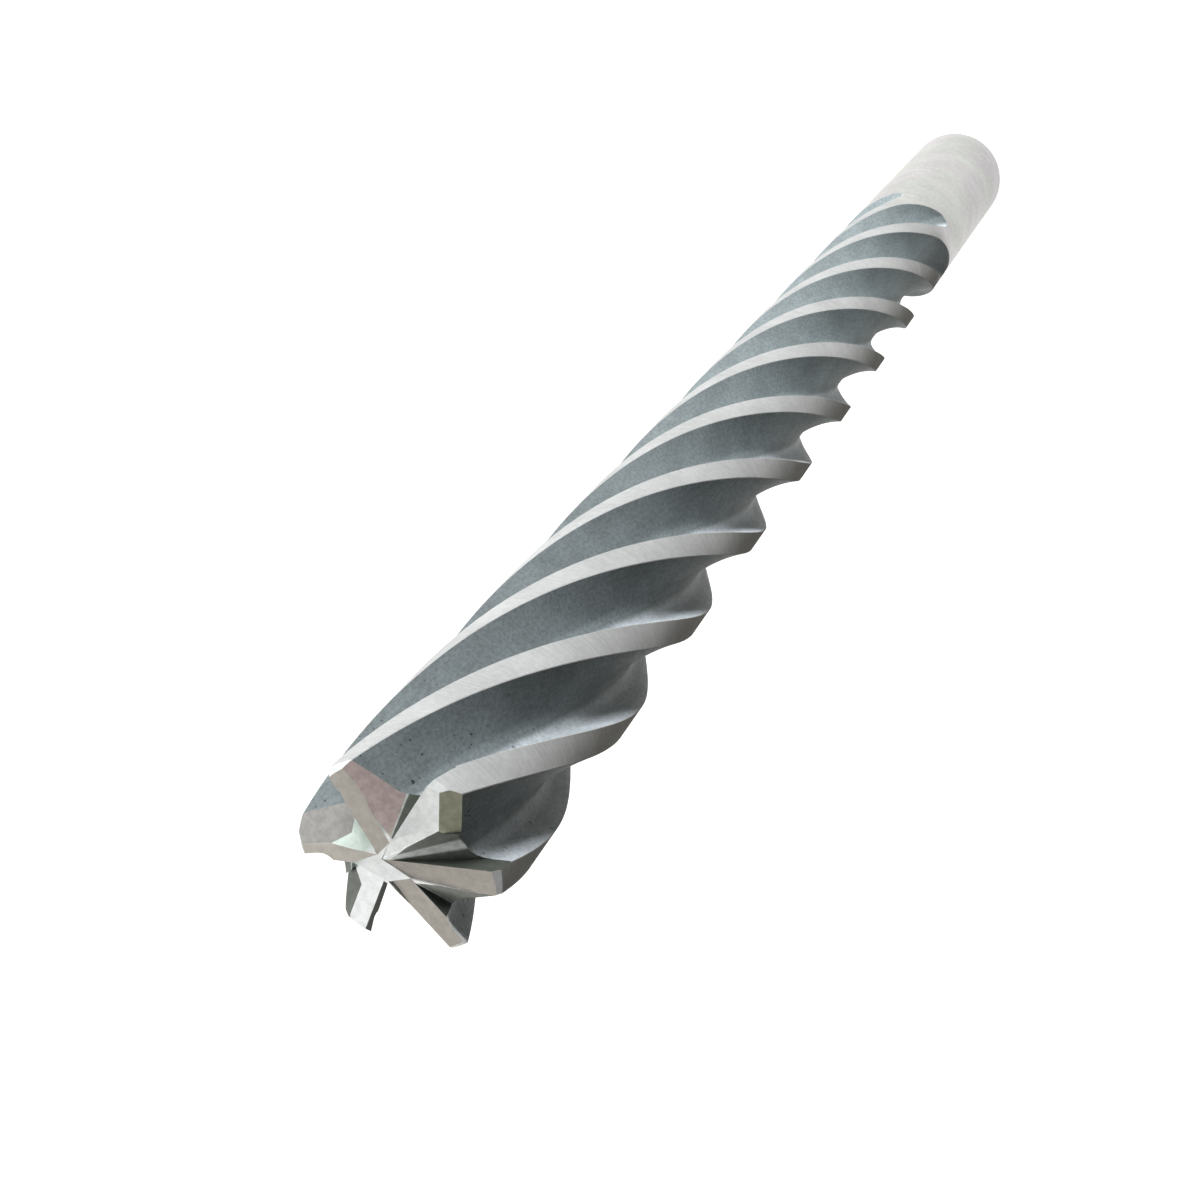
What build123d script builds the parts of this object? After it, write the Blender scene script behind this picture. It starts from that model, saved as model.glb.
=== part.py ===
"""Long six-flute spiral router bit with a straight shank, ground from one bar.

Millimetres. The bit stands on the flat end of its shank, with the cutting end up.
The origin is the centre of the shank's end face and +Z is the axis of the tool.
"""
from build123d import *
import math
import os

os.makedirs("parts", exist_ok=True)

# overall
cutter_diameter = 16.0
shank_diameter = 16.0
overall_length = 210.0
flute_length = 165.0
shank_chamfer = 0.8

# flutes
flute_count = 6
helix_lead = 112.0
land_angle = 17.0
core_diameter = 10.2
rake_angle = 5.0
back_angle = 32.0
root_fillet = 1.3
root_flats = 3
runout_length = 9.0
runout_margin = 1.0

# end teeth
corner_chamfer = 0.5
end_dish = 1.5
end_relief = 6.0
gash_rake = 15.0
gash_fall = 4.0
stone_reach = 0.62
# one gash a row, counted with the teeth: how far from the axis it begins, as a share of
# the cutter radius, and where; then the directions of the end edge, of the bottom and of
# the trailing edge ahead, all four as angles past the tooth's own; then the bottom's slope
gashes = (
    (0.172, 54.5, 5.3, 19.5, 66.0, 17.0),
    (0.187, 66.1, 4.5, 9.0, 69.3, 22.0),
    (0.466, 24.8, 12.3, 30.0, 89.0, 35.0),
    (0.283, 17.5, 16.0, 45.0, 80.0, 45.0),
    (0.219, 13.8, 22.1, 28.0, 70.0, 18.0),
    (0.155, -159.8, 15.0, 25.0, 46.3, 12.5),
)
# further relief behind three of the lands: the tooth, how far out it begins and where,
# the directions of its edge and of its inner side past the tooth's own angle, the length
# of that side as a share of the cutter radius, and its fall
further_reliefs = (
    (0, 0.518, -8.3, 24.2, -58.0, 0.5, 35.0),
    (2, 0.471, 8.0, 16.0, -89.0, 0.45, 27.0),
    (3, 0.595, -1.4, 12.7, -127.0, 0.275, 35.0),
)

cutter_radius = cutter_diameter / 2
core_radius = core_diameter / 2
pitch_angle = 360.0 / flute_count
flute_depth = cutter_radius - core_radius
runout_top = overall_length - flute_length + runout_length


def at_angle(radius, degrees):
    """Point of the section plane at a radius and an angle."""
    a = math.radians(degrees)
    return Vector(radius * math.cos(a), radius * math.sin(a))


def root_centre(corner, along, normal):
    """Centre of the root fillet that touches a flute wall and the core circle."""
    base = corner + normal * root_fillet
    reach = base.dot(along)
    rest = base.dot(base) - (core_radius + root_fillet) ** 2
    return base - along * (reach + math.sqrt(reach * reach - rest))


def flats_on_arc(start, centre, end, count):
    """Points of the short flats that a root fillet is dressed to, without its first."""
    count = round(count)
    a = math.atan2((start - centre).Y, (start - centre).X)
    b = math.atan2((end - centre).Y, (end - centre).X)
    sweep = (b - a + math.pi) % (2 * math.pi) - math.pi
    angles = [math.degrees(a + sweep * k / count) for k in range(1, count + 1)]
    return [centre + at_angle(root_fillet, angle) for angle in angles]


def flute_edges(outset=0.0):
    """Flute between a heel at 0 degrees and the next cutting edge, which lies at a
    smaller angle: back wall, root, which touches the core circle, and rake wall.
    With an outset both walls run on past the land."""
    edge_angle = land_angle - pitch_angle
    heel = at_angle(cutter_radius, 0.0)
    edge = at_angle(cutter_radius, edge_angle)
    back = at_angle(1.0, 180.0 + back_angle)
    back_normal = at_angle(1.0, back_angle - 90.0)
    rake = at_angle(1.0, edge_angle + 180.0 + rake_angle)
    rake_normal = at_angle(1.0, edge_angle + 90.0 + rake_angle)
    centre_a = root_centre(heel, back, back_normal)
    centre_b = root_centre(edge, rake, rake_normal)
    wall_a = centre_a - back_normal * root_fillet
    wall_b = centre_b - rake_normal * root_fillet
    floor_a = centre_a.normalized() * core_radius
    floor_b = centre_b.normalized() * core_radius
    points = [heel - back * outset, wall_a, floor_a, floor_b]
    points += flats_on_arc(floor_b, centre_b, wall_b, root_flats)
    points.append(edge - rake * outset)
    return [Edge.make_line(p, q) for p, q in zip(points, points[1:])]


def fluted_section():
    """Cross-section of the fluted bar at the cutting end."""
    flute = flute_edges()
    land = Edge.make_three_point_arc(
        at_angle(cutter_radius, 0.0),
        at_angle(cutter_radius, land_angle / 2),
        at_angle(cutter_radius, land_angle),
    )
    tooth = [land] + flute
    edges = []
    for k in range(flute_count):
        edges += [e.rotate(Axis.Z, k * pitch_angle) for e in tooth]
    return Face(Wire(edges))


def turn_at(z):
    """Turn of the section at height z, nought at the cutting end."""
    return 360.0 * (z - overall_length) / helix_lead


def runout_cutter():
    """Body of one flute where the grinding wheel leaves the bar: the flute's own
    profile moves out along a circular path while it follows the helix."""
    wheel = (runout_length ** 2 + flute_depth ** 2) / (2 * flute_depth)
    middle = (land_angle - pitch_angle) / 2
    flute = flute_edges(outset=6.0)
    first = flute[0].position_at(0)
    last = flute[-1].position_at(1)
    profile = Wire(flute + [Edge.make_line(last, first)])
    wires = []
    for share in (0.0, 0.2, 0.4, 0.6, 0.75, 0.9, 1.0, 1.12):
        down = share * runout_length
        rise = wheel - math.sqrt(wheel * wheel - down * down)
        z = runout_top - down
        moved = profile.translate(at_angle(rise, middle))
        wires.append(moved.rotate(Axis.Z, turn_at(z)).translate(Vector(0, 0, z)))
    return Solid.make_loft(wires)


def flat_sided(points, faces):
    """Closed solid whose flat faces run through the given points."""
    sides = [Face(Wire.make_polygon([points[n] for n in face], close=True)) for face in faces]
    return Solid(Shell(sides))


def gash_start(k):
    """Point of the end plane at which a gash begins."""
    reach, angle = gashes[k % len(gashes)][:2]
    return at_angle(reach * cutter_radius, k * pitch_angle + angle) + Vector(0, 0, overall_length)


def gash(k):
    """Gash ground between tooth k and the tooth ahead: a pyramid with its point at the
    inner end. Its long edges run out along the end edge of tooth k, under that edge at
    the gash rake, along the bottom and along the trailing edge of the tooth ahead."""
    edge, bottom, trail, slope = gashes[k % len(gashes)][2:]
    tooth = k * pitch_angle
    reach = cutter_diameter * stone_reach
    point = gash_start(k)
    up = Vector(0, 0, 1)
    face_depth = reach * math.tan(math.radians(slope + gash_fall))
    under = at_angle(math.tan(math.radians(gash_rake)), tooth + edge - 90.0)
    edge_out = point + at_angle(reach, tooth + edge)
    face_low = edge_out + (under - up) * face_depth
    bottom_low = point + at_angle(reach, tooth + bottom) - up * (reach * math.tan(math.radians(slope)))
    trail_fall = reach * math.tan(math.radians(end_relief)) / 4
    trail_out = point + at_angle(reach, tooth + trail) - up * trail_fall
    side = trail_out - bottom_low
    clear = cutter_radius / 2
    face_high = edge_out + (edge_out - face_low) * (clear / face_depth)
    trail_high = trail_out + side * (clear / side.Z)
    points = [point, face_low, bottom_low, trail_high, face_high]
    return flat_sided(points, [(0, 1, 2), (0, 2, 3), (0, 3, 4), (0, 4, 1), (1, 4, 3), (1, 3, 2)])


def relief_block(begin, corners, away, fall):
    """Block over part of the end face. Its flat underside falls, from the line through
    the first point across the given direction, at the given angle."""
    drop = math.tan(math.radians(fall))
    clear = cutter_radius / 2
    low = [p - Vector(0, 0, 1) * ((p - begin).dot(away) * drop) for p in corners]
    high = [Vector(p.X, p.Y, overall_length + clear) for p in corners]
    faces = [(0, 1, 2, 3), (7, 6, 5, 4), (0, 4, 5, 1), (1, 5, 6, 2), (2, 6, 7, 3), (3, 7, 4, 0)]
    return flat_sided(low + high, faces)


def land_relief(k):
    """Relief of the end land of tooth k, which falls from its end edge to its back."""
    edge = gashes[k % len(gashes)][2] + k * pitch_angle
    trail = gashes[(k - 1) % len(gashes)][4] + (k - 1) * pitch_angle
    reach = cutter_diameter * stone_reach
    away = at_angle(1.0, edge - 90.0)
    begin = gash_start(k)
    back = gash_start((k - 1) % flute_count)
    corners = [begin, begin + at_angle(reach, edge), back + at_angle(reach, trail) + away * corner_chamfer, back]
    return relief_block(begin, corners, away, end_relief)


def further_relief(row):
    """Steeper relief behind part of an end land, with an upright inner side."""
    k, share, angle, edge, side, side_share, fall = row
    tooth = k * pitch_angle
    away = at_angle(1.0, tooth + edge - 90.0)
    begin = at_angle(share * cutter_radius, tooth + angle) + Vector(0, 0, overall_length)
    out = begin + at_angle(cutter_diameter * 0.4, tooth + edge)
    far = out + away * (cutter_radius / 2)
    back = begin + at_angle(side_share * cutter_radius, tooth + side)
    return relief_block(begin, [begin, out, far, back], away, fall)


# fluted length above the run-out
turn = turn_at(runout_top)
section = fluted_section().rotate(Axis.Z, turn).translate(Vector(0, 0, runout_top))
fluted = Solid.extrude_linear_with_rotation(
    section, Vector(0, 0, runout_top), Vector(0, 0, overall_length - runout_top), -turn
)

# end form: dished end face and chamfered corners
dish = cutter_radius * math.tan(math.radians(end_dish))
envelope = Face(Wire.make_polygon([
    Vector(0, 0, runout_top - 1),
    Vector(cutter_radius + 1, 0, runout_top - 1),
    Vector(cutter_radius + 1, 0, overall_length - corner_chamfer - 1),
    Vector(cutter_radius - corner_chamfer, 0, overall_length),
    Vector(0, 0, overall_length - dish),
], close=True))
fluted = (fluted & Solid.revolve(envelope, 360.0, Axis.Z)).solids()[0]

# plain shank, and the stretch of bar that the flutes run out in
plain_length = overall_length - flute_length - runout_margin
shank = Solid.make_cylinder(shank_diameter / 2, plain_length)
shank = shank.chamfer(shank_chamfer, None, [shank.edges().sort_by(Axis.Z)[0]])
runout = Solid.make_cylinder(cutter_radius, runout_top - plain_length)
runout = runout.translate(Vector(0, 0, plain_length))
cutter = runout_cutter()
for k in range(flute_count):
    runout = runout.cut(cutter.rotate(Axis.Z, k * pitch_angle))

bit = runout.fuse(fluted)
for k in range(flute_count):
    bit = bit.cut(gash(k))
for k in range(flute_count):
    bit = bit.cut(land_relief(k))
for row in further_reliefs:
    bit = bit.cut(further_relief(row))
bit = bit.fuse(shank)

bit = bit.solids()[0] if len(bit.solids()) == 1 else bit
bit.label = "router_bit"
export_step(bit, "parts/router_bit.step")
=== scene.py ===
"""Spiral router bit with six ground flutes, standing on its shank end on a pale floor.

Laid out as a Blender add-on. Lengths in the settings are metres and angles are radians.
The surfaces are worked out in the object's own frame: +Z is the tool's axis and the
origin is the centre of the shank's end face. Angles about the axis run from +X to +Y.
"""
import math

import bmesh
import bpy
import numpy as np
from bpy.props import FloatProperty, FloatVectorProperty, IntProperty, PointerProperty
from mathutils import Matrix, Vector


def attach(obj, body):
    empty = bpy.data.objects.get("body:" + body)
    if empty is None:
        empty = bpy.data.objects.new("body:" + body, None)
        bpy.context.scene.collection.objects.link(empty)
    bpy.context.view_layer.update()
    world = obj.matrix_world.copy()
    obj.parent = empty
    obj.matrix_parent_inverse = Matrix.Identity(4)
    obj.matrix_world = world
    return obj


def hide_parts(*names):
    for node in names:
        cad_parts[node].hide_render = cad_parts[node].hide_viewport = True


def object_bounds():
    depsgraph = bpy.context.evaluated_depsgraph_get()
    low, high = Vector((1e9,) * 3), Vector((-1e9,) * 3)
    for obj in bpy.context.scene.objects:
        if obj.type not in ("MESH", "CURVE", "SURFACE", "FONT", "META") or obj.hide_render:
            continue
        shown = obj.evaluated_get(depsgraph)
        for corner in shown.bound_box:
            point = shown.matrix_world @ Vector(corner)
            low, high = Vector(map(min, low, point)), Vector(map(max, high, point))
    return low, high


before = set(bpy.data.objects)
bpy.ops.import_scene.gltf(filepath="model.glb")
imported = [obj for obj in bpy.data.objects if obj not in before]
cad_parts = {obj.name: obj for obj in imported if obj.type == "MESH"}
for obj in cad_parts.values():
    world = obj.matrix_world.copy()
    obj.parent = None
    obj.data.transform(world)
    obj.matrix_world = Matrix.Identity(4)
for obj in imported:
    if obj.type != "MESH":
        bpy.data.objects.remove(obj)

bl_info = {
    "name": "Spiral router bit",
    "version": (1, 0, 0),
    "blender": (4, 5, 0),
    "location": "View3D > Sidebar > Router bit",
    "description": "Six-flute spiral router bit with ground lands and end teeth",
    "category": "Add Mesh",
}

CAD_LOW, CAD_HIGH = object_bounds()
CAD_DIAMETER = CAD_HIGH.x - CAD_LOW.x
CAD_LENGTH = CAD_HIGH.z - CAD_LOW.z

# points along each wall and each arc of the dense line of one flute
WALL_POINTS = 120
ARC_POINTS = 60
# points of the mesh across a flute and across a land, and how strongly those of the
# flute draw together at its edges and in its middle
FLUTE_COLUMNS = 25
LAND_COLUMNS = 8
CROWDING = 0.035
# rows of the mesh along the run-out, along the flutes and up the corner chamfer, and how
# strongly those of the run-out draw together towards the shank
RUNOUT_ROWS = 45
FLUTE_ROWS = 190
CHAMFER_ROWS = 2
RUNOUT_POWER = 0.8
# the last plain row of the bar lies the first of these below the run-out, and from the
# run-out's end down the flute is moved out by the second, in its own depths, which takes
# it clear of the bar
PLAIN_GAP = 0.0003
CLEAR_OF_BAR = 1.2
# an edge break takes no more than this share of a flute's width
BREAK_SHARE = 0.2

# slots of the finishes: lands and shank, flutes, bright facets of the end, their brightness partly a
# painted highlight, gashes darkened by painted shade, warm and olive facets beside the end lands, and
# the end lands
SLOT_BAR, SLOT_FLUTE, SLOT_END, SLOT_GASH, SLOT_RELIEF, SLOT_LAND = range(6)
# the end is ground from the two tables below, which are in millimetres and degrees for a
# bit of this radius and are scaled to the bit
DRAWN_RADIUS = 8.0
# a gash a row: inner end x and y, then the angles about the axis of the end edge, of the
# bottom and of the trailing edge ahead, and the bottom's slope
GASHES = (
    (0.80, 1.12, 5.3, 19.5, 66.0, 17.0),
    (-0.88, 1.21, 64.5, 69.0, 129.3, 22.0),
    (-3.05, 2.15, 132.3, 150.0, 209.0, 35.0),
    (-2.16, -0.68, 196.0, 225.0, 260.0, 45.0),
    (-0.49, -1.68, 262.1, 268.0, 310.0, 18.0),
    (-0.95, 0.79, 315.0, 325.0, 346.3, 12.5),
)
# further relief of the end lands, behind three of them and along the end edge of one: x
# and y where it begins, the angles of its edge and of its inner side, the length of that
# side, its fall and its width
FURTHER_RELIEFS = (
    (4.10, -0.60, 24.2, 302.0, 4.0, 35.0, 4.0),
    (-2.32, 2.97, 136.0, 31.0, 3.6, 27.0, 4.0),
    (-4.76, 0.12, 192.7, 53.0, 2.2, 35.0, 4.0),
    (-8.66, -1.97, 16.0, 286.0, 0.8, 50.0, 0.8),
)
# finishes that each gash gives its bottom and face wall, and the wall that rises to the
# trailing edge ahead; the dark gash finish is painted shade
GASH_SLOTS = ((SLOT_GASH, SLOT_RELIEF), (SLOT_END, SLOT_END)) + ((SLOT_GASH, SLOT_GASH),) * 4
FURTHER_SLOTS = (SLOT_RELIEF, SLOT_RELIEF, SLOT_GASH, SLOT_GASH)
LAND_SLOTS = (SLOT_END, SLOT_LAND, SLOT_LAND, SLOT_END, SLOT_LAND, SLOT_LAND)
# painted highlight streaks along the bottoms of gashes: the gash, and how wide its streak grows
HIGHLIGHT_STREAKS = ((0, 0.00022), (4, 0.0002), (5, 0.0005))

# gashes and land reliefs run out from their inner ends by the first number of diameters,
# and further reliefs from where they begin by the second, so that they leave the bar
GRIND_REACH = 0.62
FURTHER_REACH = 0.4
# grinds stand above the end teeth by these heights
GASH_ABOVE = 0.004
RELIEF_ABOVE = 0.002
DISH_ABOVE = 0.003
# a gash's trailing edge falls at this share of the land's relief
TRAIL_SHARE = 0.25
# a land's relief runs this far past its trailing edge, and at its inner corner it laps
# over the next one by these lengths, inwards and across
PAST_TRAIL = 0.0006
LAP_IN = 0.00004
LAP_ACROSS = 0.00002
# sides of the dish's cone, and its rim in radii of the bit
DISH_SIDES = 48
DISH_RIM = 1.3
# faces of a block whose corners are four below and then four above
BLOCK_FACES = [(0, 1, 2, 3), (4, 7, 6, 5), (0, 4, 5, 1), (1, 5, 6, 2), (2, 6, 7, 3), (3, 7, 4, 0)]
# points nearer than these are merged, before and after the end is ground
MERGE_BEFORE = 2e-6
MERGE_AFTER = 1e-6
SHORTEST_EDGE = 1e-7
# edges that turn more than this many degrees are drawn sharp
SHARP_FROM = 28.0

# the middle part of each noise, which a finish spreads over its whole range
TONE_SPAN = (0.32, 0.68)
CLOUD_SPAN = (0.35, 0.65)
SPECKLE_SPAN = (0.3, 0.7)
# size of the grain on the lands and shank, in the flutes and on the end
BAR_GRAIN = 0.0005
FLUTE_GRAIN = 0.00032
END_GRAIN = 0.0006
# way across the surface for one degree about the axis, on the bar and in a flute
BAR_DEGREE = 0.00014
FLUTE_DEGREE = 0.00012

# a lamp a row: name, setting of its power, place, height on the axis that it faces, width
# and height, and tint
LAMPS = (
    ("key_lamp", "key", (0.55, 0.49, 0.18), 0.10, (0.3, 0.3), (0.96, 0.98, 1.0)),
    ("strip_lamp", "strip", (-0.26, 0.34, 0.64), 0.21, (0.4, 0.14), (1.0, 1.0, 1.0)),
    ("back_lamp", "back", (-0.58, -0.16, 0.35), 0.10, (0.4, 0.4), (1.0, 0.94, 0.88)),
)
# strength of the world where it lights the bit, and where it is seen
WORLD_LIGHT = 0.12
WORLD_SEEN = 1.0
WHITE = (1.0, 1.0, 1.0, 1.0)
# colour of the floor, its glow where it is seen, and its squares along each side
FLOOR_COLOUR = (0.42, 0.40, 0.36, 1.0)
FLOOR_GLOW = 0.9
FLOOR_SQUARES = 8
# place of the camera, its turn about X, Y and Z in degrees, its sensor in millimetres and
# the nearest and furthest that it sees
CAMERA_PLACE = (0.083392, 0.002155, 0.289109)
CAMERA_TURN = (-28.2271, 21.4613, -54.6713)
CAMERA_SENSOR = 36.0
CAMERA_NEAR = 0.01
CAMERA_FAR = 20.0


def length(name, text, default):
    """A size in metres that a user may change."""
    return FloatProperty(name=name, description=text, default=default, unit="LENGTH", precision=5)


def angle(name, text, degrees):
    """An angle that a user may change."""
    default = math.radians(degrees)
    return FloatProperty(name=name, description=text, default=default, subtype="ANGLE")


def power(name, text, default):
    """The power of a lamp in watts."""
    return FloatProperty(name=name, description=text, default=default, unit="POWER")


def colour(name, text, default):
    """A linear colour."""
    return FloatVectorProperty(
        name=name, description=text, default=default, size=3, min=0.0, max=1.0, subtype="COLOR"
    )


class BitShape(bpy.types.PropertyGroup):
    """Sizes of the ground bit."""

    diameter: length("Diameter", "Diameter over the lands and of the shank", CAD_DIAMETER)
    overall: length("Overall length", "From the shank's end to the end teeth", CAD_LENGTH)
    flute_length: length("Flute length", "From the end teeth to the end of the run-out", 0.165)
    shank_chamfer: length("Shank chamfer", "Chamfer round the shank's end", 0.0008)
    flutes: IntProperty(name="Flutes", description="Number of flutes", default=6, min=2, max=12)
    lead: length("Lead", "Height of one full turn of the helix", 0.112)
    land: angle("Land", "Width of a land, as an angle about the axis", 17.0)
    core: length("Core", "Diameter of the core between the flutes", 0.0102)
    rake: angle("Rake", "Lean of the rake wall from the radius", 5.0)
    back: angle("Back", "Lean of the back wall from the radius", 32.0)
    root: length("Root fillet", "Radius where a wall meets the core", 0.0013)
    runout: length("Run-out", "Length in which a flute leaves the bar", 0.009)
    edge_break: length("Edge break", "Width of the flat that breaks each long edge", 0.00005)
    corner: length("Corner chamfer", "Chamfer of the corners at the end teeth", 0.0005)
    dish: angle("Dish", "Fall of the end face towards the centre", 1.5)
    gash_rake: angle("Gash rake", "Lean of a gash's face wall under the end edge", 15.0)
    gash_fall: angle("Gash fall", "Extra slope of a gash's bottom along its face wall", 4.0)
    end_relief: angle("End relief", "Fall of an end land behind its edge", 6.0)


class BitFinish(bpy.types.PropertyGroup):
    """Colours of the bit's ground surfaces."""

    bar_colour: colour("Land colour", "Bright ground steel of the lands", (0.50, 0.505, 0.50))
    shank_colour: colour("Shank colour", "Satin steel of the shank", (0.46, 0.465, 0.455))
    flute_colour: colour("Flute colour", "Grey matt steel of the flutes", (0.182, 0.207, 0.213))
    # painted highlight: the rake walls get a lighter colour where they would catch the lamps
    rake_highlight_colour: colour("Rake colour", "Lighter steel of the rake walls", (0.46, 0.50, 0.53))
    # the bright colour of these end lands is partly painted highlight
    end_highlight_colour: colour("End colour", "Freshly ground steel of two end lands", (0.63, 0.65, 0.64))
    land_colour: colour("End land colour", "Beige grey of four of the end lands", (0.29, 0.27, 0.24))
    # painted shade: the gashes get a dark colour where shade falls
    gash_shade_colour: colour("Gash colour", "Dark steel in the gashes", (0.07, 0.078, 0.066))
    # painted highlight: light streaks along the gash bottoms
    streak_highlight_colour: colour("Streak colour", "Light streaks along the gashes", (0.42, 0.44, 0.42))
    relief_colour: colour("Relief colour", "Warm grey wall of the first gash", (0.36, 0.292, 0.278))
    olive_colour: colour("Olive colour", "Relief behind the first end land", (0.42, 0.42, 0.31))
    second_colour: colour("Second gash", "Green grey of the second gash", (0.32, 0.38, 0.34))
    third_colour: colour("Third relief", "Grey behind the third end land", (0.20, 0.195, 0.185))


class BitStage(bpy.types.PropertyGroup):
    """Floor, lamps and camera."""

    floor_size: length("Floor", "Side of the floor", 4.0)
    lens: FloatProperty(name="Lens", description="Focal length", default=48.44, unit="CAMERA")
    key: power("Key lamp", "Power of the key lamp", 6.6)
    strip: power("Strip lamp", "Power of the strip lamp behind", 4.2)
    back: power("Back lamp", "Power of the weak lamp behind", 1.1)


# the groups of settings that each scene has
SETTINGS = {"routerbit_shape": BitShape, "routerbit_finish": BitFinish, "routerbit_stage": BitStage}


def polar(radius, theta):
    """Points of the section plane: a radius times the cosine and sine of an angle."""
    return np.stack([radius * np.cos(theta), radius * np.sin(theta)], axis=-1)


def root_centre(corner, along, normal, fillet, core):
    """Centre of the fillet that touches the wall through a corner and the core
    circle: on the line a fillet radius beside the wall, at a core radius plus a
    fillet radius from the axis."""
    base = corner + normal * fillet
    reach = base @ along
    rest = base @ base - (core + fillet) ** 2
    return base - along * (reach + math.sqrt(reach * reach - rest))


def arc_points(centre, radius, start, end):
    """Points of an arc about a centre, the short way round: centre plus radius times
    the direction, whose angle runs evenly from the start's to the end's."""
    a = math.atan2(*(start - centre)[::-1])
    b = math.atan2(*(end - centre)[::-1])
    sweep = (b - a + math.pi) % (2 * math.pi) - math.pi
    return centre + polar(radius, a + sweep * np.linspace(0, 1, ARC_POINTS))


def flute_line(shape):
    """Dense line of one flute's section, and the way along it to each point. It runs
    from the cutting edge of the tooth before, down the rake wall, round its fillet,
    along the core circle, round the other fillet and up the back wall to the heel,
    which lies at angle nought."""
    radius = shape.diameter / 2
    core = shape.core / 2
    fillet = shape.root
    edge_angle = shape.land - 2 * math.pi / shape.flutes
    heel = polar(radius, 0.0)
    edge = polar(radius, edge_angle)
    back = polar(1.0, math.pi + shape.back)
    back_normal = polar(1.0, shape.back - math.pi / 2)
    rake = polar(1.0, edge_angle + math.pi + shape.rake)
    rake_normal = polar(1.0, edge_angle + math.pi / 2 + shape.rake)
    back_centre = root_centre(heel, back, back_normal, fillet, core)
    rake_centre = root_centre(edge, rake, rake_normal, fillet, core)
    back_foot = back_centre - back_normal * fillet
    rake_foot = rake_centre - rake_normal * fillet
    back_floor = back_centre / np.linalg.norm(back_centre) * core
    rake_floor = rake_centre / np.linalg.norm(rake_centre) * core
    steps = np.linspace(0, 1, WALL_POINTS)[:, None]
    line = np.concatenate([
        edge + (rake_foot - edge) * steps,
        arc_points(rake_centre, fillet, rake_foot, rake_floor)[1:],
        arc_points(np.zeros(2), core, rake_floor, back_floor)[1:],
        arc_points(back_centre, fillet, back_floor, back_foot)[1:],
        (back_foot + (heel - back_foot) * steps)[1:],
    ])
    way = np.concatenate([[0.0], np.cumsum(np.linalg.norm(np.diff(line, axis=0), axis=1))])
    return line, way


def section_rows(shape, rise, columns, land_columns):
    """Sections of one tooth's pitch, a row for each rise of the flute out of the bar.
    Each row is the flute line moved out by its rise and cut at the bar's circle,
    then the land, an arc of that circle from the heel to the next cutting edge.
    Where the flute has left the bar its points fall together on the circle."""
    least_depth, least_step = 1e-9, 1e-12
    radius = shape.diameter / 2
    pitch = 2 * math.pi / shape.flutes
    line, way = flute_line(shape)
    out = polar(1.0, (shape.land - pitch) / 2)
    moved = line[None] + rise[:, None, None] * out
    depth = radius - np.linalg.norm(moved, axis=2)
    inside = depth > least_depth
    first = np.argmax(inside, axis=1)
    last = inside.shape[1] - 1 - np.argmax(inside[:, ::-1], axis=1)
    gone = ~inside.any(axis=1)
    rows = np.arange(len(rise))

    def crossing(a, b):
        """Way along the line at which it meets the circle, between two of its points:
        the share of the step at which the depth passes nought."""
        step = depth[rows, b] - depth[rows, a]
        safe = np.where(step == 0, 1.0, step)
        share = np.where(np.abs(step) > least_step, -depth[rows, a] / safe, 0.0)
        return way[a] + np.clip(share, 0, 1) * (way[b] - way[a])

    def angle_at(reached):
        """Angle about the axis of the point that a way along the moved line reaches."""
        x = np.interp(reached, way, line[:, 0]) + rise * out[0]
        y = np.interp(reached, way, line[:, 1]) + rise * out[1]
        return np.where(gone, math.atan2(out[1], out[0]), np.arctan2(y, x))

    deepest = way[np.argmax(depth, axis=1)]
    start = np.where(gone, deepest, crossing(np.maximum(first - 1, 0), first))
    end = np.where(gone, deepest, crossing(np.minimum(last + 1, len(way) - 1), last))
    cut = np.minimum(shape.edge_break, BREAK_SHARE * (end - start))
    ways = (start + cut)[:, None] + (end - start - 2 * cut)[:, None] * columns
    flute = np.stack([np.interp(ways, way, line[:, 0]), np.interp(ways, way, line[:, 1])], axis=-1)
    flute = flute + rise[:, None, None] * out
    flute[gone] = radius * out
    low = angle_at(end) + cut / radius
    high = angle_at(start) + pitch - cut / radius
    theta = low[:, None] + (high - low)[:, None] * land_columns
    return np.concatenate([flute, polar(radius, theta)], axis=1)


def spun(x, y, turn):
    """Places of the section plane turned about the axis by an angle."""
    cos = np.cos(turn)
    sin = np.sin(turn)
    return x * cos - y * sin, x * sin + y * cos


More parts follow.
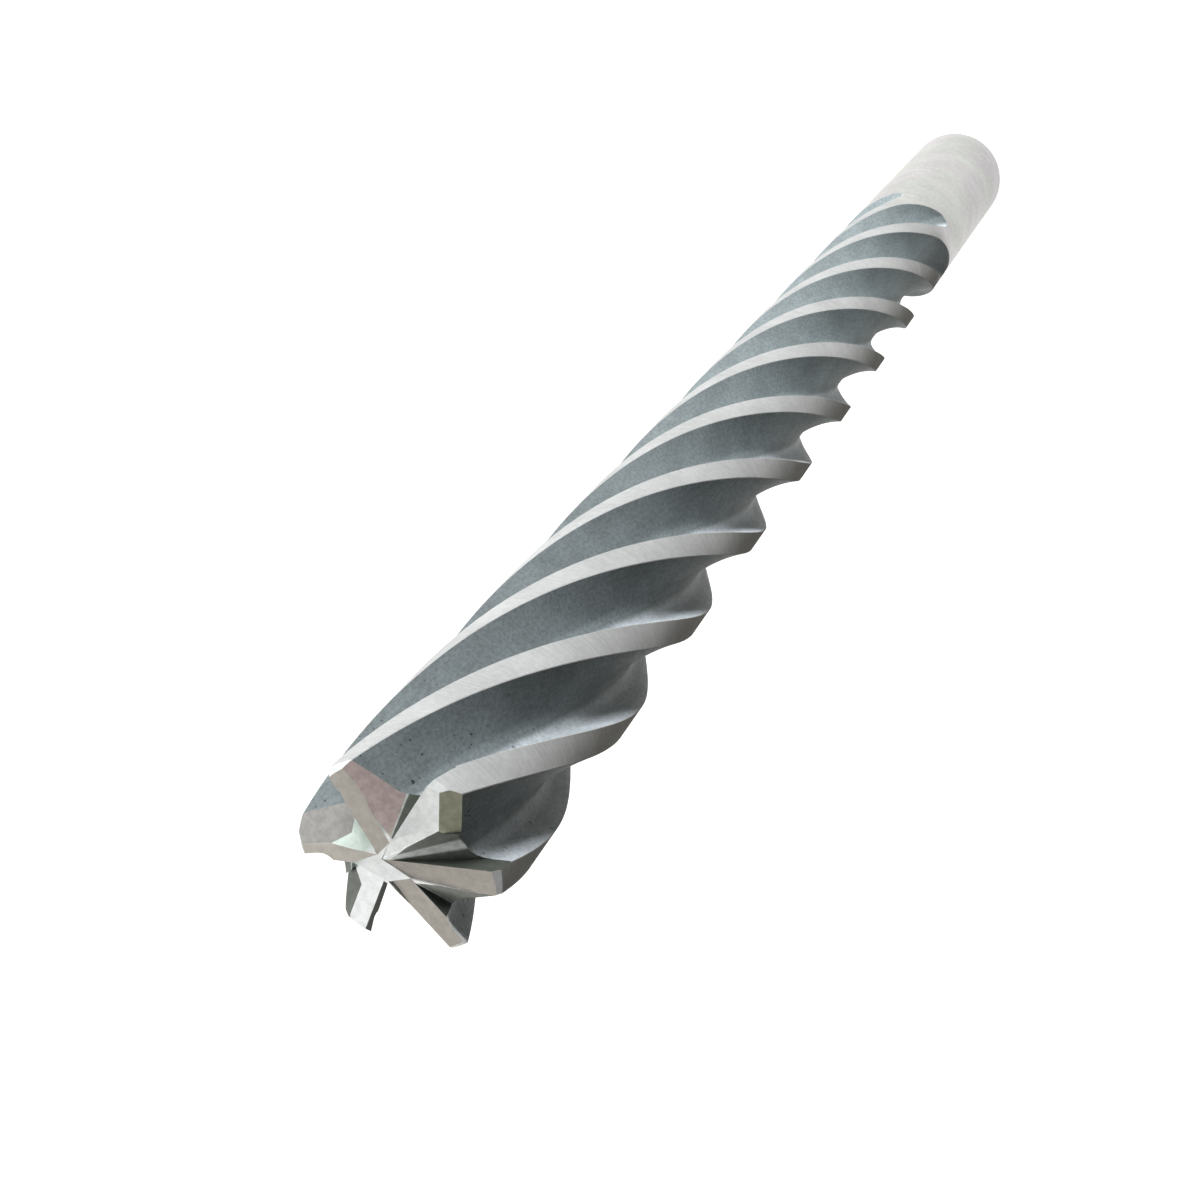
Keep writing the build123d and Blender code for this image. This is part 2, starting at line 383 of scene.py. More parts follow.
def bit_surface(shape):
    """The whole bit as a grid of heights by points round the section, and for each
    column whether it lies in a flute. A section is one tooth's pitch repeated round the
    axis; each row is turned by a full turn times its height over the lead; down the
    run-out the flute moves out along the grinding wheel's circle, by the wheel's radius
    less the root of its square less the square of the way down; at the end teeth the
    radius is held to the corner chamfer, and at the shank's end to its chamfer."""
    radius = shape.diameter / 2
    top = shape.overall
    depth = radius - shape.core / 2
    end = top - shape.flute_length
    runout_top = end + shape.runout
    even = np.linspace(0, 1, FLUTE_COLUMNS)
    columns = even - CROWDING * np.sin(4 * math.pi * even)
    land_columns = np.linspace(0, 1, LAND_COLUMNS)
    z_plain = [0.0, shape.shank_chamfer, end - PLAIN_GAP]
    z_runout = runout_top - shape.runout * np.linspace(1, 0, RUNOUT_ROWS) ** RUNOUT_POWER
    z_flutes = np.linspace(runout_top, top - shape.corner, FLUTE_ROWS)[1:]
    z_corner = top - shape.corner * np.linspace(1, 0, CHAMFER_ROWS + 1)[1:]
    z = np.concatenate([z_plain, z_runout, z_flutes, z_corner])

    wheel = (shape.runout ** 2 + depth ** 2) / (2 * depth)
    down = np.clip(runout_top - z, 0.0, shape.runout)
    rise = wheel - np.sqrt(wheel ** 2 - down ** 2)
    rise[z <= end] = depth * CLEAR_OF_BAR
    tooth = section_rows(shape, rise, columns, land_columns)
    spins = 2 * math.pi / shape.flutes * np.arange(shape.flutes)
    x, y = spun(tooth[:, None, :, 0], tooth[:, None, :, 1], spins[None, :, None])
    x = x.reshape(len(z), -1)
    y = y.reshape(len(z), -1)

    held = radius - np.maximum(0.0, z - (top - shape.corner))
    held[0] = radius - shape.shank_chamfer
    keep = np.minimum(1.0, held[:, None] / np.hypot(x, y))
    turn = 2 * math.pi * (np.maximum(z, end - PLAIN_GAP) - top) / shape.lead
    x, y = spun(x * keep, y * keep, turn[:, None])
    points = np.stack([x, y, np.broadcast_to(z[:, None], x.shape)], axis=-1)
    in_flute = np.arange(FLUTE_COLUMNS + LAND_COLUMNS) < FLUTE_COLUMNS - 1
    return points, np.tile(in_flute, shape.flutes)


def grid_faces(rows, columns):
    """Faces of a grid that closes round its columns, seen from outside."""
    a = np.arange((rows - 1) * columns).reshape(rows - 1, columns)
    b = np.roll(a, -1, axis=1)
    return np.stack([a, b, b + columns, a + columns], axis=-1).reshape(-1, 4)


def gash_row(shape, k):
    """Inner end, angles and slope of one gash, scaled to the bit and in radians."""
    x, y, *angles = GASHES[k % len(GASHES)]
    scale = shape.diameter / 2 / DRAWN_RADIUS
    return np.array([x, y]) * scale, *(math.radians(degrees) for degrees in angles)


def outward(point, reach, theta, fall=0.0):
    """A point moved out by a reach at an angle about the axis, and down by a fall."""
    return point + np.append(polar(reach, theta), -fall)


def gash_wedge(shape, k):
    """One gash between tooth k and the next: a pyramid whose point is the gash's inner
    end. Its face wall holds tooth k's end edge and leans under it at the gash rake, its
    bottom line falls at the gash's slope, and its other wall rises from that line
    through the trailing edge of the next tooth. Both walls run on to above the end. The
    outer end of a line lies the reach away in its direction, and lower by the reach
    times the tangent of its slope."""
    inner, lead, bottom, trail, slope = gash_row(shape, k)
    reach = shape.diameter * GRIND_REACH
    point = np.append(inner, shape.overall)
    face_depth = reach * math.tan(slope + shape.gash_fall)
    under = polar(math.tan(shape.gash_rake), lead - math.pi / 2)
    lead_out = outward(point, reach, lead)
    face_low = lead_out + np.append(under, -1.0) * face_depth
    bottom_low = outward(point, reach, bottom, reach * math.tan(slope))
    trail_out = outward(point, reach, trail, reach * math.tan(shape.end_relief) * TRAIL_SHARE)
    face_high = lead_out + (lead_out - face_low) * (GASH_ABOVE / face_depth)
    rising = trail_out - bottom_low
    trail_high = trail_out + rising * (GASH_ABOVE / rising[2])
    points = np.stack([point, face_low, bottom_low, trail_high, face_high])
    faces = [(0, 1, 2), (0, 2, 3), (0, 3, 4), (0, 4, 1), (1, 4, 3, 2)]
    inner_slot, wall_slot = GASH_SLOTS[k % len(GASH_SLOTS)]
    return points, faces, [inner_slot, wall_slot, SLOT_END, inner_slot, SLOT_END]


def relief_block(shape, outline, fall, under_slot, side_slot):
    """A block over an outline of the end plane. Its underside lies a fall below the end
    teeth at each corner, and its top lies level above them."""
    low = np.column_stack([outline, shape.overall - fall])
    high = np.column_stack([outline, np.full(len(outline), shape.overall + RELIEF_ABOVE)])
    return np.concatenate([low, high]), BLOCK_FACES, [under_slot] + [side_slot] * 5


def land_relief(shape, k):
    """Relief of tooth k's end land. Its flat underside falls by the way behind the end
    edge times the tangent of the relief, and by the way in from the rim times the tangent
    of the dish."""
    inner, lead, *_ = gash_row(shape, k)
    before, _, _, trail, _ = gash_row(shape, k - 1)
    reach = shape.diameter * GRIND_REACH
    across = polar(1.0, lead - math.pi / 2)
    far = before + polar(reach, trail) + across * PAST_TRAIL
    near = before - polar(LAP_IN, trail) + across * LAP_ACROSS
    outline = np.stack([inner, inner + polar(reach, lead), far, near])
    behind = (outline - inner) @ across
    inwards = shape.diameter / 2 - outline @ polar(1.0, lead)
    fall = behind * math.tan(shape.end_relief) + inwards * math.tan(shape.dish)
    return relief_block(shape, outline, fall, LAND_SLOTS[k % len(LAND_SLOTS)], SLOT_END)


def further_relief(shape, row):
    """Further relief of an end land. Its flat underside begins at a line on the land and
    falls by the way from that line times the tangent of its fall, and its inner side is
    upright."""
    x, y, edge, side, side_length, fall, width = FURTHER_RELIEFS[row]
    scale = shape.diameter / 2 / DRAWN_RADIUS
    edge = math.radians(edge)
    begin = np.array([x, y]) * scale
    away = polar(1.0, edge - math.pi / 2)
    out = begin + polar(shape.diameter * FURTHER_REACH, edge)
    back = begin + polar(side_length * scale, math.radians(side))
    outline = np.stack([begin, out, out + away * width * scale, back])
    drop = (outline - begin) @ away * math.tan(math.radians(fall))
    return relief_block(shape, outline, drop, FURTHER_SLOTS[row], SLOT_GASH)


def dish_cone(shape):
    """The dish of the end face: a cone whose point lies on the axis, below the end teeth
    by the radius times the tangent of the dish, and whose side rises at that slope to a
    rim outside the bit. A second cone closes it above."""
    radius = shape.diameter / 2
    slope = math.tan(shape.dish)
    here = np.arange(DISH_SIDES)
    after = np.roll(here, -1)
    ring = polar(DISH_RIM * radius, 2 * math.pi * here / DISH_SIDES)
    rim = np.column_stack([ring, np.full(DISH_SIDES, shape.overall + (DISH_RIM - 1) * radius * slope)])
    ends = [[0.0, 0.0, shape.overall - radius * slope], [0.0, 0.0, shape.overall + DISH_ABOVE]]
    low = np.stack([after, here, np.full(DISH_SIDES, DISH_SIDES)], axis=-1)
    high = np.stack([here, after, np.full(DISH_SIDES, DISH_SIDES + 1)], axis=-1)
    faces = np.concatenate([low, high]).tolist()
    return np.concatenate([rim, ends]), faces, [SLOT_END] * len(faces)


def end_grinds(shape):
    """All that is ground from the end: points, faces and finishes of each body."""
    grinds = [dish_cone(shape)]
    grinds += [gash_wedge(shape, k) for k in range(shape.flutes)]
    grinds += [land_relief(shape, k) for k in range(shape.flutes)]
    grinds += [further_relief(shape, row) for row in range(len(FURTHER_RELIEFS))]
    return grinds


def mesh_object(name, points, faces, slots=()):
    """A mesh object at the origin from an array of points, a list of faces and the slot
    of each face."""
    mesh = bpy.data.meshes.new(name)
    mesh.from_pydata(points.tolist(), [], faces)
    if len(slots):
        mesh.polygons.foreach_set("material_index", np.array(slots, dtype=np.int32))
    mesh.update()
    made = bpy.data.objects.new(name, mesh)
    bpy.context.scene.collection.objects.link(made)
    return made


def clean_mesh(made, merge, triangles=False):
    """Merges points that fall together and turns all faces outwards; triangles if asked."""
    work = bmesh.new()
    work.from_mesh(made.data)
    bmesh.ops.remove_doubles(work, verts=work.verts, dist=merge)
    bmesh.ops.dissolve_degenerate(work, edges=work.edges, dist=SHORTEST_EDGE)
    bmesh.ops.recalc_face_normals(work, faces=work.faces)
    if triangles:
        bmesh.ops.triangulate(work, faces=work.faces)
    work.to_mesh(made.data)
    work.free()


def fluted_bar(shape, finishes):
    """The bit before its end is ground: its surface, closed by a flat face at each end."""
    points, in_flute = bit_surface(shape)
    rows, columns = points.shape[:2]
    slots = np.where(in_flute, SLOT_FLUTE, SLOT_BAR)[None].repeat(rows - 1, axis=0)
    slots[-CHAMFER_ROWS:] = SLOT_END
    ring = np.arange(columns)
    ends = [ring[::-1].tolist(), (ring + (rows - 1) * columns).tolist()]
    faces = grid_faces(rows, columns).tolist() + ends
    bar = mesh_object("ground_bit", points.reshape(-1, 3), faces, [*slots.ravel(), SLOT_BAR, SLOT_END])
    clean_mesh(bar, MERGE_BEFORE)
    for material in finishes:
        bar.data.materials.append(material)
    return bar


def grind_end(bit, grinds, finishes):
    """Takes each body away from the bit and leaves the body's finish on the cut faces."""
    bodies = []
    for k, grind in enumerate(grinds):
        body = mesh_object(f"grind_{k}", *grind)
        for material in finishes:
            body.data.materials.append(material)
        clean_mesh(body, MERGE_BEFORE, triangles=True)
        bodies.append(body)
        cut = bit.modifiers.new(body.name, "BOOLEAN")
        cut.operation = "DIFFERENCE"
        cut.solver = "MANIFOLD"
        cut.object = body
    graph = bpy.context.evaluated_depsgraph_get()
    ground = bpy.data.meshes.new_from_object(bit.evaluated_get(graph))
    bit.modifiers.clear()
    bit.data = ground
    for body in bodies:
        bpy.data.objects.remove(body, do_unlink=True)
    clean_mesh(bit, MERGE_AFTER)


class Wiring:
    """Short calls that place nodes in a tree and join them."""

    def __init__(self, tree):
        self.nodes = tree.nodes
        self.links = tree.links

    def put(self, target, value):
        """Joins a socket to an input, or sets the input's value."""
        if isinstance(value, bpy.types.NodeSocket):
            self.links.new(value, target)
        else:
            target.default_value = value

    def fill(self, inputs, values):
        """Gives values to a node's inputs in their order."""
        for target, value in zip(inputs, values):
            self.put(target, value)

    def math(self, operation, *values):
        """A Math node."""
        node = self.nodes.new("ShaderNodeMath")
        node.operation = operation
        self.fill(node.inputs, values)
        return node.outputs[0]

    def product(self, *values):
        """Values multiplied together in their order."""
        total = values[0]
        for value in values[1:]:
            total = self.math("MULTIPLY", total, value)
        return total

    def ramp(self, value, low, high, to_low=0.0, to_high=1.0):
        """A smooth step of a value between two limits."""
        node = self.nodes.new("ShaderNodeMapRange")
        node.interpolation_type = "SMOOTHSTEP"
        self.fill(node.inputs, (value, low, high, to_low, to_high))
        return node.outputs[0]

    def mix(self, factor, a, b, blend="MIX"):
        """A colour Mix node."""
        node = self.nodes.new("ShaderNodeMix")
        node.data_type = "RGBA"
        node.blend_type = blend
        self.put(node.inputs[0], factor)
        self.fill(node.inputs[6:8], (a, b))
        return node.outputs[2]

    def noise(self, vector, scale, detail, roughness):
        """A Noise texture's value."""
        node = self.nodes.new("ShaderNodeTexNoise")
        names = ("Vector", "Scale", "Detail", "Roughness")
        self.fill([node.inputs[name] for name in names], (vector, scale, detail, roughness))
        return node.outputs[0]

    def join(self, x, y, z):
        """A vector from three values."""
        node = self.nodes.new("ShaderNodeCombineXYZ")
        self.fill(node.inputs, (x, y, z))
        return node.outputs[0]

    def split(self, vector):
        """The three values of a vector."""
        node = self.nodes.new("ShaderNodeSeparateXYZ")
        self.put(node.inputs[0], vector)
        return node.outputs[0], node.outputs[1], node.outputs[2]

    def grey(self, value):
        """A grey colour from a value."""
        node = self.nodes.new("ShaderNodeCombineColor")
        self.fill(node.inputs, (value, value, value))
        return node.outputs[0]

    def own_place(self):
        """A point's place in the object's own coordinates."""
        return self.nodes.new("ShaderNodeTexCoord").outputs["Object"]

    def seen_directly(self):
        """One for camera, glossy and transmission rays and nought for the others."""
        path = self.nodes.new("ShaderNodeLightPath").outputs
        seen = self.math("MAXIMUM", path["Is Camera Ray"], path["Is Glossy Ray"])
        return self.math("MAXIMUM", seen, path["Is Transmission Ray"])

    def group(self, name, **values):
        """Outputs of a shared node group, with its inputs joined or set by name."""
        node = self.nodes.new("ShaderNodeGroup")
        node.node_tree = bpy.data.node_groups[name]
        for label, value in values.items():
            self.put(node.inputs[label.replace("_", " ")], value)
        return node.outputs


def new_group(name, inputs, outputs):
    """A shader node group with named inputs, each a value with its default or a vector
    where that is None, and named outputs that are values. Gives the group's wiring, the
    sockets that bring its inputs and those that take its outputs."""
    tree = bpy.data.node_groups.new(name, "ShaderNodeTree")
    for label, default in inputs.items():
        kind = "NodeSocketVector" if default is None else "NodeSocketFloat"
        socket = tree.interface.new_socket(name=label, in_out="INPUT", socket_type=kind)
        if default is not None:
            socket.default_value = default
    for label in outputs:
        tree.interface.new_socket(name=label, in_out="OUTPUT", socket_type="NodeSocketFloat")
    net = Wiring(tree)
    return net, net.nodes.new("NodeGroupInput").outputs, net.nodes.new("NodeGroupOutput").inputs


def build_helix_place():
    """Where a point lies on the spiral: the angle about the axis less the turn of its
    height, in degrees and taken round one tooth's pitch from the heel, with the radius
    and the height."""
    inputs = {"Point": None, "Lead": 0.112, "Top": 0.21, "Pitch": 60.0}
    net, given, result = new_group("helix_place", inputs, ("Angle", "Radius", "Height"))
    whole_pitches = 60.0  # added so that the fraction is of a positive number
    x, y, z = net.split(given["Point"])
    around = net.product(net.math("ARCTAN2", y, x), 180.0 / math.pi)
    turns = net.math("DIVIDE", net.math("SUBTRACT", z, given["Top"]), given["Lead"])
    from_heel = net.math("SUBTRACT", around, net.product(turns, 360.0))
    pitches = net.math("ADD", net.math("DIVIDE", from_heel, given["Pitch"]), whole_pitches)
    square = net.math("ADD", net.product(x, x), net.product(y, y))
    net.put(result["Angle"], net.product(net.math("FRACT", pitches), given["Pitch"]))
    net.put(result["Radius"], net.math("SQRT", square))
    net.put(result["Height"], z)


def build_steel_grain():
    """Grain of ground steel: noise of the given size for the speckle, and much coarser
    noise for clouds."""
    net, given, result = new_group("steel_grain", {"Point": None, "Size": 0.0004}, ("Speckle", "Cloud"))
    coarser = 0.08
    scale = net.math("DIVIDE", 1.0, given["Size"])
    net.put(result["Speckle"], net.noise(given["Point"], scale, detail=4.0, roughness=0.65))
    clouds = net.noise(given["Point"], net.product(scale, coarser), detail=3.0, roughness=0.55)
    net.put(result["Cloud"], clouds)


def build_grinding_lines():
    """Lines that a grinding wheel leaves: noise that is as fine as the given width across
    them and stretched along them."""
    inputs = {"Across": 0.0, "Along": 0.0, "Width": 0.0003, "Stretch": 30.0}
    net, given, result = new_group("grinding_lines", inputs, ("Lines",))
    across = net.math("DIVIDE", given["Across"], given["Width"])
    along = net.math("DIVIDE", net.math("DIVIDE", given["Along"], given["Width"]), given["Stretch"])
    lines = net.noise(net.join(across, along, 0.0), scale=1.0, detail=3.0, roughness=0.6)
    net.put(result["Lines"], lines)


def build_bottom_highlight():
    """Mask of the painted highlight streak along a gash's bottom: one on the line through its start
    at its angle, and nought beyond a width that grows with the way out."""
    inputs = {"Point": None, "Start X": 0.0, "Start Y": 0.0, "Angle": 0.0, "Width": 0.0003, "Reach": 0.008}
    net, given, result = new_group("bottom_streak", inputs, ("Mask",))
    share_at_start = 0.25
    least_width = 0.00001
    outer, inner = 1.3, 0.6
    x, y, _ = net.split(given["Point"])
    x = net.math("SUBTRACT", x, given["Start X"])
    y = net.math("SUBTRACT", y, given["Start Y"])
    cos = net.math("COSINE", given["Angle"])
    sin = net.math("SINE", given["Angle"])
    along = net.math("ADD", net.product(x, cos), net.product(y, sin))
    across = net.math("ABSOLUTE", net.math("SUBTRACT", net.product(y, cos), net.product(x, sin)))
    share_out = net.math("ADD", net.math("DIVIDE", along, given["Reach"]), share_at_start)
    width = net.math("MAXIMUM", net.product(share_out, given["Width"]), least_width)
    near = net.ramp(net.math("DIVIDE", across, width), outer, inner)
    net.put(result["Mask"], net.product(near, net.math("GREATER_THAN", along, 0.0)))


SHARED_GROUPS = {
    "helix_place": build_helix_place,
    "steel_grain": build_steel_grain,
    "grinding_lines": build_grinding_lines,
    "bottom_streak": build_bottom_highlight,
}


def rgb(value):
    """A colour with full alpha."""
    return (*value, 1.0)


def new_finish(name, roughness=0.5, metallic=0.0, specular=0.5):
    """A material, its wiring and the inputs of its Principled BSDF."""
    material = bpy.data.materials.new(name)
    material.use_nodes = True
    net = Wiring(material.node_tree)
    shader = net.nodes["Principled BSDF"].inputs
    shader["Roughness"].default_value = roughness
    shader["Metallic"].default_value = metallic
    shader["Specular IOR Level"].default_value = specular
    return material, net, shader


def paint(net, shader, base, *shades):
    """Sets the base colour: a colour times one brightness or more."""
    shade = net.grey(net.product(*shades))
    net.put(shader["Base Color"], net.mix(1.0, base, shade, "MULTIPLY"))


def roughen(net, shader, height, strength, distance):
    """Bends the normal by a height."""
    bump = net.nodes.new("ShaderNodeBump")
    bump.inputs["Strength"].default_value = strength
    bump.inputs["Distance"].default_value = distance
    net.put(bump.inputs["Height"], height)
    net.put(shader["Normal"], bump.outputs[0])


def on_spiral(net, where, shape):
    """A point's place on this bit's spiral."""
    pitch = 360.0 / shape.flutes
    return net.group("helix_place", Point=where, Lead=shape.lead, Top=shape.overall, Pitch=pitch)


def ground_tone(net, lines, speckle, share):
    """Grinding lines and speckle added together, with a share of lines."""
    return net.math("ADD", net.product(lines, share), net.product(speckle, 1.0 - share))


def bar_finish(shape, finish):
    """Bright ground lands and satin shank: two colours that blend over the run-out, with
    lines round the axis, fine grain, clouds and a faint tint on the shank."""
    material, net, shader = new_finish("bright_land_steel", specular=0.0)
    greenish, lilac = rgb((0.97, 1.0, 0.98)), rgb((1.0, 0.96, 1.02))
    blend_above, blend_below = 0.012, 0.001
    where = net.own_place()
    spot = on_spiral(net, where, shape)
    end = shape.overall - shape.flute_length
    shank = net.ramp(spot["Height"], end + blend_above, end - blend_below)
    patches = net.ramp(net.noise(where, scale=110.0, detail=1.0, roughness=0.4), *CLOUD_SPAN)
    tinted = net.mix(patches, greenish, lilac)
    satin = net.mix(1.0, rgb(finish.shank_colour), tinted, "MULTIPLY")
    base = net.mix(shank, rgb(finish.bar_colour), satin)

    grain = net.group("steel_grain", Point=where, Size=BAR_GRAIN)
    round_bar = net.product(spot["Angle"], BAR_DEGREE)
    lines = net.group("grinding_lines", Across=spot["Height"], Along=round_bar, Width=0.00022, Stretch=26.0)
    tone = ground_tone(net, lines["Lines"], grain["Speckle"], share=0.5)
    shade = net.ramp(tone, *TONE_SPAN, to_low=0.88, to_high=1.08)
    cloud = net.ramp(grain["Cloud"], *CLOUD_SPAN, to_low=0.93, to_high=1.06)
    paint(net, shader, base, shade, cloud)
    net.put(shader["Metallic"], net.ramp(shank, 0.0, 1.0, to_low=0.0, to_high=0.9))
    net.put(shader["Roughness"], net.ramp(tone, *SPECKLE_SPAN, to_low=0.46, to_high=0.32))
    roughen(net, shader, tone, strength=0.25, distance=0.00002)
    return material


def flute_finish(shape, finish):
    """Grey matt flutes with painted light: paler towards the shank and a painted highlight on the rake
    wall. Streaks that follow the spiral, clouds, grain and a few small pits near the end teeth."""
    material, net, shader = new_finish("grey_flute_steel", specular=0.04)
    painted_light_from, painted_light_to = 0.01, 0.02
    pits_from, pits_to = 0.022, 0.006
    pit_span, pit_darkness = (0.715, 0.75), 0.7
    rake_highlight_from, rake_highlight_to = 12.0, 3.0
    where = net.own_place()
    spot = on_spiral(net, where, shape)
    top = shape.overall
    land = math.degrees(shape.land)
    # painted highlight on the rake wall, lighter towards the cutting edge
    rake = net.ramp(spot["Angle"], land + rake_highlight_from, land + rake_highlight_to)
    base = net.mix(rake, rgb(finish.flute_colour), rgb(finish.rake_highlight_colour))

    grain = net.group("steel_grain", Point=where, Size=FLUTE_GRAIN)
    across = net.math("ADD", net.product(spot["Angle"], FLUTE_DEGREE), spot["Radius"])
    lines = net.group("grinding_lines", Across=across, Along=spot["Height"], Width=0.00025, Stretch=40.0)
    tone = ground_tone(net, lines["Lines"], grain["Speckle"], share=0.2)
    shade = net.ramp(tone, *TONE_SPAN, to_low=0.80, to_high=1.16)
    cloud = net.ramp(grain["Cloud"], *CLOUD_SPAN, to_low=0.92, to_high=1.08)
    runout = top - shape.flute_length + painted_light_to
    # painted light: the flutes are painted paler towards the shank
    painted_light = net.ramp(spot["Height"], top - painted_light_from, runout, to_low=0.92, to_high=1.75)
    near_end = net.ramp(spot["Height"], top - pits_from, top - pits_to)
    spots = net.ramp(net.noise(where, scale=2100.0, detail=1.0, roughness=0.4), *pit_span)
    pits = net.math("SUBTRACT", 1.0, net.product(spots, near_end, pit_darkness))
    paint(net, shader, base, shade, cloud, painted_light, pits)
    net.put(shader["Roughness"], net.ramp(tone, *SPECKLE_SPAN, to_low=0.58, to_high=0.44))
    roughen(net, shader, tone, strength=0.35, distance=0.00003)
    return material


def end_speckle(net, where, darkest, brightest):
    """Brightness of a facet of the end from its speckle, and the speckle itself."""
    speckle = net.group("steel_grain", Point=where, Size=END_GRAIN)["Speckle"]
    return net.ramp(speckle, *SPECKLE_SPAN, to_low=darkest, to_high=brightest), speckle


def end_finish(shape, finish):
    """Ground facets of the end: bright, their brightness partly a painted highlight, with fine speckle,
    and green grey in the second gash."""
    material, net, shader = new_finish("ground_end_steel", roughness=0.4, metallic=0.2)
    near_side, far_side = (0.0014, 0.0022), (0.0065, 0.0055)
    where = net.own_place()
    _, y, _ = net.split(where)
    second = net.product(net.ramp(y, *near_side), net.ramp(y, *far_side))
    # bright end colour: partly painted highlight
    base = net.mix(second, rgb(finish.end_highlight_colour), rgb(finish.second_colour))
    shade, speckle = end_speckle(net, where, darkest=0.9, brightest=1.08)
    paint(net, shader, base, shade)
    roughen(net, shader, speckle, strength=0.2, distance=0.00002)
    return material


def gash_finish(shape, finish):
    """Gashes darkened with painted shade, and a painted highlight streak along the bottoms of three."""
    material, net, shader = new_finish("dark_gash_steel", roughness=0.5, metallic=0.2)
    where = net.own_place()
    radius = shape.diameter / 2
    streak = 0.0
    for k, width in HIGHLIGHT_STREAKS:
        (x, y), _, bottom, _, _ = gash_row(shape, k)
        placed = net.group(
            "bottom_streak", Point=where, Start_X=x, Start_Y=y, Angle=bottom, Width=width, Reach=radius
        )
        streak = net.math("MAXIMUM", streak, placed["Mask"])
    # dark gashes are painted shade; the streaks are painted highlight
    base = net.mix(streak, rgb(finish.gash_shade_colour), rgb(finish.streak_highlight_colour))
    shade, _ = end_speckle(net, where, darkest=0.8, brightest=1.2)
    paint(net, shader, base, shade)
    return material


def relief_finish(shape, finish):
    """Warm grey wall of the first gash, olive on the relief behind the first end land and
    grey on the one behind the third."""
    material, net, shader = new_finish("warm_relief_steel", roughness=0.45, metallic=0.1, specular=0.2)
    olive_from, olive_to = shape.diameter * 0.12, shape.diameter * 0.06
    third_from, third_to = 0.0009, 0.0007
    where = net.own_place()
    x, y, _ = net.split(where)
    olive = net.ramp(y, olive_from, olive_to)
    third = net.ramp(x, third_from, third_to)
    base = net.mix(olive, rgb(finish.relief_colour), rgb(finish.olive_colour))
    base = net.mix(third, base, rgb(finish.third_colour))
    shade, _ = end_speckle(net, where, darkest=0.85, brightest=1.15)
    paint(net, shader, base, shade)
    return material


def land_finish(shape, finish):
    """Beige grey end lands with fine speckle and painted light, paler towards +Y on the lamps' side."""
    material, net, shader = new_finish("beige_end_steel", roughness=0.45, metallic=0.05, specular=0.2)
    painted_light_from, painted_light_to = 0.0, 0.002
    where = net.own_place()
    _, y, _ = net.split(where)
    # painted light: the end lands are painted paler towards +Y, where the lamps are
    painted_light = net.ramp(y, painted_light_from, painted_light_to, to_low=1.0, to_high=1.35)
    shade, _ = end_speckle(net, where, darkest=0.9, brightest=1.1)
    paint(net, shader, rgb(finish.land_colour), shade, painted_light)
    return material


# in the order of the slots
FINISHES = (bar_finish, flute_finish, end_finish, gash_finish, relief_finish, land_finish)


class ROUTERBIT_OT_ground_bit(bpy.types.Operator):
    """Builds the fluted bit with its shank, end teeth and finishes"""

    bl_idname = "routerbit.ground_bit"
    bl_label = "Build ground bit"

    def execute(self, context):
        shape = context.scene.routerbit_shape
        for name, build in SHARED_GROUPS.items():
            if name not in bpy.data.node_groups:
                build()
        finishes = [make(shape, context.scene.routerbit_finish) for make in FINISHES]
        bit = fluted_bar(shape, finishes)
        grind_end(bit, end_grinds(shape), finishes)
        bit.data.shade_smooth()
        bit.data.set_sharp_from_angle(angle=math.radians(SHARP_FROM))
        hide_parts("router_bit")
        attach(bit, "root")
        return {"FINISHED"}


def floor_finish():
    """Pale floor that the camera and the reflections see as white, with the shadow
    that the lamps throw on it."""
    material, net, shader = new_finish("pale_floor_finish", roughness=0.9, specular=0.1)
    shader["Base Color"].default_value = FLOOR_COLOUR
    shader["Emission Color"].default_value = WHITE
    net.put(shader["Emission Strength"], net.product(net.seen_directly(), FLOOR_GLOW))
    return material


def pale_floor(size):
    """A level square of even squares, centred under the bit."""
    steps = np.linspace(-size / 2, size / 2, FLOOR_SQUARES + 1)
    x, y = np.meshgrid(steps, steps)
    points = np.stack([x.ravel(), y.ravel(), np.zeros(x.size)], axis=-1)
    squares = np.arange(FLOOR_SQUARES)
    across = FLOOR_SQUARES + 1
    a = (squares[:, None] * across + squares).ravel()
    faces = np.stack([a, a + 1, a + across + 1, a + across], axis=-1).tolist()
    floor = mesh_object("pale_floor", points, faces)
    floor.data.materials.append(floor_finish())
    return floor


def studio_world():
    """White world that lights the bit weakly and is seen at full strength."""
    world = bpy.data.worlds.new("studio_world")
    world.use_nodes = True
    net = Wiring(world.node_tree)
    sky = net.nodes["Background"].inputs
    sky["Color"].default_value = WHITE
    net.put(sky["Strength"], net.ramp(net.seen_directly(), 0.0, 1.0, WORLD_LIGHT, WORLD_SEEN))
    return world


def area_lamp(name, watts, place, height, size, tint):
    """A soft rectangular lamp that faces a height on the bit's axis."""
    data = bpy.data.lights.new(name, "AREA")
    data.shape = "RECTANGLE"
    data.size, data.size_y = size
    data.energy = watts
    data.color = tint
    lamp = bpy.data.objects.new(name, data)
    lamp.location = place
    lamp.rotation_mode = "QUATERNION"
    aim = Vector((0.0, 0.0, height)) - Vector(place)
    lamp.rotation_quaternion = aim.to_track_quat("-Z", "Y")
    bpy.context.scene.collection.objects.link(lamp)


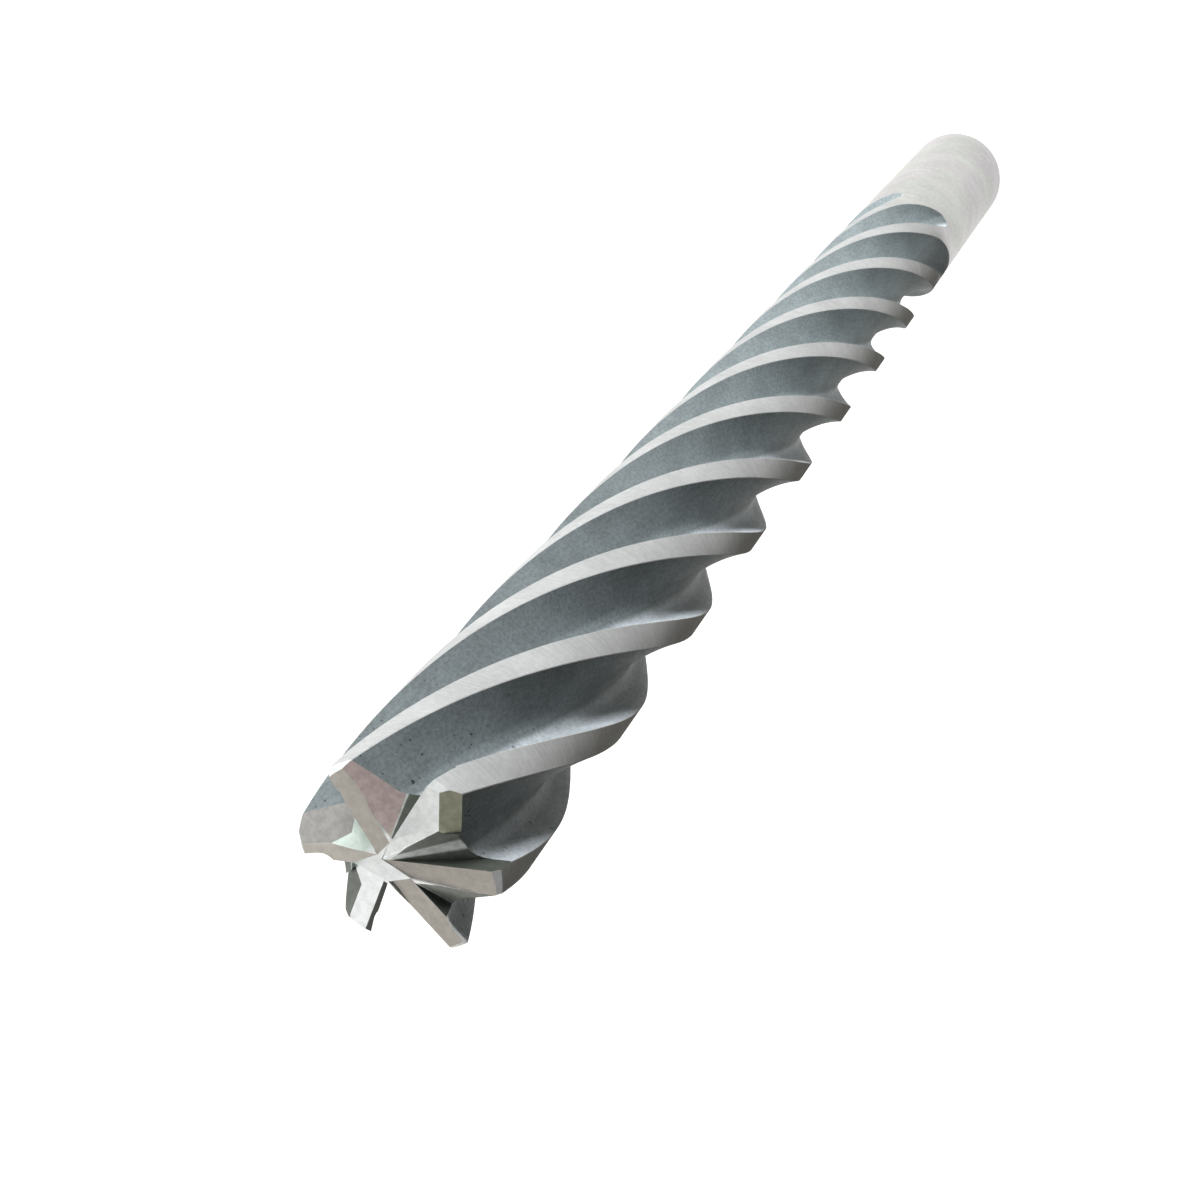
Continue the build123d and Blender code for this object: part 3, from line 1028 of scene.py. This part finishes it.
def bit_camera(lens):
    """The camera beyond the end teeth, looking down along the bit."""
    data = bpy.data.cameras.new("bit_camera")
    data.sensor_width = CAMERA_SENSOR
    data.lens = lens
    data.clip_start = CAMERA_NEAR
    data.clip_end = CAMERA_FAR
    camera = bpy.data.objects.new("bit_camera", data)
    camera.location = CAMERA_PLACE
    camera.rotation_euler = [math.radians(degrees) for degrees in CAMERA_TURN]
    bpy.context.scene.collection.objects.link(camera)
    return camera


class ROUTERBIT_OT_stage(bpy.types.Operator):
    """Builds the pale floor, the soft lamps, the world and the camera"""

    bl_idname = "routerbit.stage"
    bl_label = "Build stage"

    def execute(self, context):
        scene = context.scene
        stage = scene.routerbit_stage
        floor = pale_floor(stage.floor_size)
        for name, setting, *rest in LAMPS:
            area_lamp(name, getattr(stage, setting), *rest)
        scene.world = studio_world()
        scene.camera = bit_camera(stage.lens)
        scene.view_settings.view_transform = "Standard"
        return {"FINISHED"}


class ROUTERBIT_PT_panel(bpy.types.Panel):
    """Lists the settings and the steps of the router bit."""

    bl_idname = "ROUTERBIT_PT_panel"
    bl_label = "Router bit"
    bl_space_type = "VIEW_3D"
    bl_region_type = "UI"
    bl_category = "Router bit"

    def draw(self, context):
        layout = self.layout
        for name in SETTINGS:
            settings = getattr(context.scene, name)
            box = layout.box()
            for key in settings.bl_rna.properties.keys():
                if key not in ("rna_type", "name"):
                    box.prop(settings, key)
        layout.operator(ROUTERBIT_OT_ground_bit.bl_idname)
        layout.operator(ROUTERBIT_OT_stage.bl_idname)


CLASSES = (*SETTINGS.values(), ROUTERBIT_OT_ground_bit, ROUTERBIT_OT_stage, ROUTERBIT_PT_panel)


def register():
    """Registers the classes and gives each scene its settings."""
    for each in CLASSES:
        bpy.utils.register_class(each)
    for name, group in SETTINGS.items():
        setattr(bpy.types.Scene, name, PointerProperty(type=group))


def unregister():
    """Takes the settings and the classes away again."""
    for name in SETTINGS:
        delattr(bpy.types.Scene, name)
    for each in reversed(CLASSES):
        bpy.utils.unregister_class(each)


def main():
    """Registers the classes and builds the bit and the stage."""
    register()
    bpy.ops.routerbit.ground_bit()
    bpy.ops.routerbit.stage()


if __name__ == "__main__":
    main()
